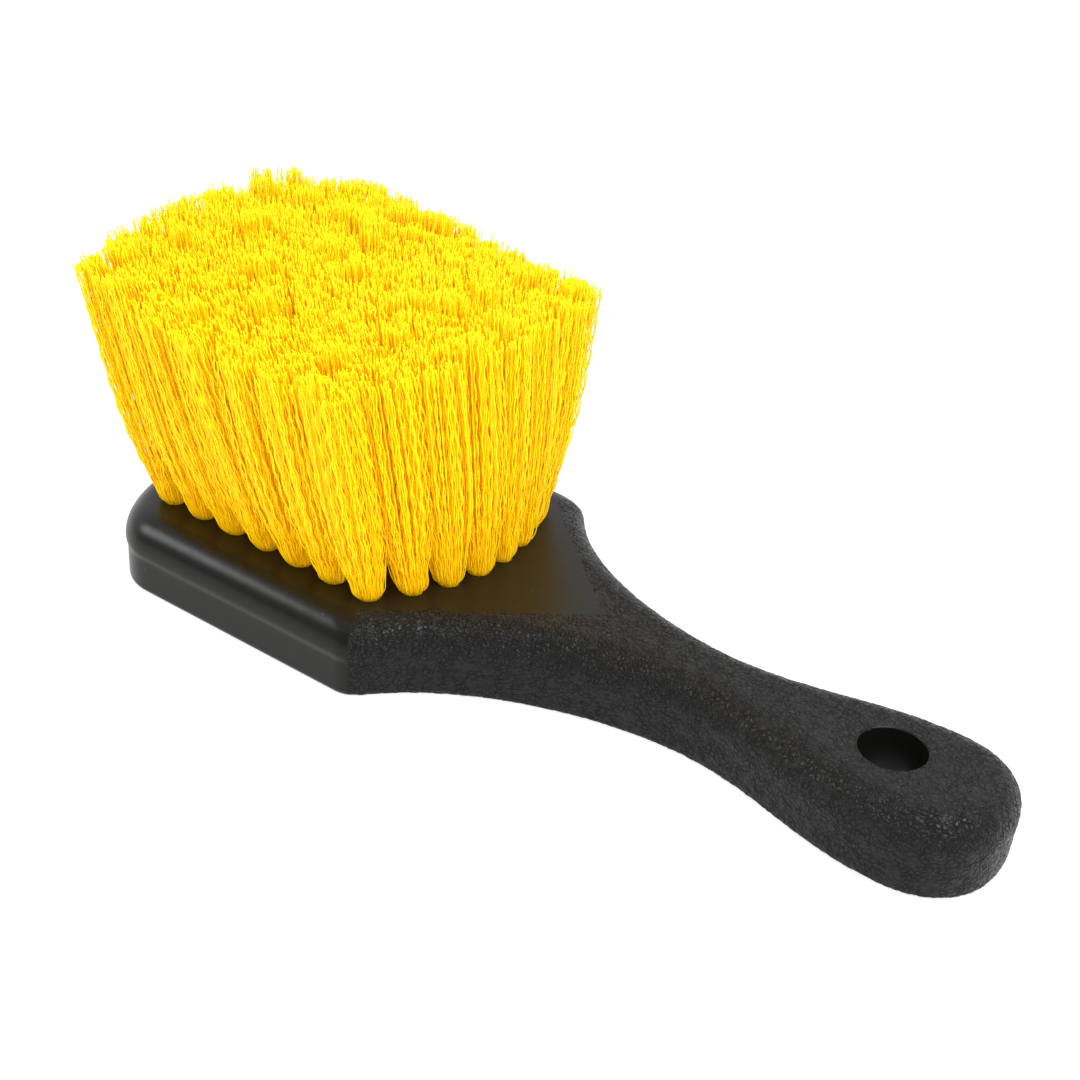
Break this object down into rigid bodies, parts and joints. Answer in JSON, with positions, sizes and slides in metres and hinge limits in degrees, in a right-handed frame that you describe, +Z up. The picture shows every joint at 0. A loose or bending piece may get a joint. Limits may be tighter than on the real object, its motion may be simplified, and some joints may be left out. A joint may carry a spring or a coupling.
{
  "type": "wheel brush",
  "caption": "Short-handled wheel brush: a black moulded block and grip with a hanging hole, filled with a dense fan of yellow crimped bristles.",
  "frame": {"origin": "on the flat back that the brush lies on, on the moulding's middle line, halfway along the whole brush", "axes": "+X from the block to the end of the handle, +Y across the block, +Z up along the bristles"},
  "size_m": [0.2172, 0.0922, 0.0793],
  "materials": {
    "black_plastic": "satin moulded, leather grain on the grip",
    "yellow_bristle": "soft sheen, fine crimped filament"
  },
  "bodies": {
    "root": {"handle_block": "black_plastic", "tuft_row1_1": "yellow_bristle", "tuft_row1_2": "yellow_bristle", "tuft_row1_3": "yellow_bristle", "tuft_row1_4": "yellow_bristle", "tuft_row1_5": "yellow_bristle", "tuft_row1_6": "yellow_bristle", "tuft_row1_7": "yellow_bristle", "tuft_row2_1": "yellow_bristle", "tuft_row2_2": "yellow_bristle", "tuft_row2_3": "yellow_bristle", "tuft_row2_4": "yellow_bristle", "tuft_row2_5": "yellow_bristle", "tuft_row2_6": "yellow_bristle", "tuft_row2_7": "yellow_bristle", "tuft_row3_1": "yellow_bristle", "tuft_row3_2": "yellow_bristle", "tuft_row3_3": "yellow_bristle", "tuft_row3_4": "yellow_bristle", "tuft_row3_5": "yellow_bristle", "tuft_row3_6": "yellow_bristle", "tuft_row3_7": "yellow_bristle", "tuft_row4_1": "yellow_bristle", "tuft_row4_2": "yellow_bristle", "tuft_row4_3": "yellow_bristle", "tuft_row4_4": "yellow_bristle", "tuft_row4_5": "yellow_bristle", "tuft_row4_6": "yellow_bristle", "tuft_row4_7": "yellow_bristle", "tuft_row4_8": "yellow_bristle", "tuft_row5_1": "yellow_bristle", "tuft_row5_2": "yellow_bristle", "tuft_row5_3": "yellow_bristle", "tuft_row5_4": "yellow_bristle", "tuft_row5_5": "yellow_bristle", "tuft_row5_6": "yellow_bristle", "tuft_row5_7": "yellow_bristle", "tuft_row5_8": "yellow_bristle", "tuft_row6_1": "yellow_bristle", "tuft_row6_2": "yellow_bristle", "tuft_row6_3": "yellow_bristle", "tuft_row6_4": "yellow_bristle", "tuft_row6_5": "yellow_bristle", "tuft_row6_6": "yellow_bristle", "tuft_row6_7": "yellow_bristle", "tuft_row7_1": "yellow_bristle", "tuft_row7_2": "yellow_bristle", "tuft_row7_3": "yellow_bristle", "tuft_row7_4": "yellow_bristle", "tuft_row7_5": "yellow_bristle", "tuft_row7_6": "yellow_bristle", "tuft_row7_7": "yellow_bristle", "tuft_row8_1": "yellow_bristle", "tuft_row8_2": "yellow_bristle", "tuft_row8_3": "yellow_bristle", "tuft_row8_4": "yellow_bristle", "tuft_row8_5": "yellow_bristle", "tuft_row8_6": "yellow_bristle", "tuft_row8_7": "yellow_bristle"}
  },
  "joints": []
}
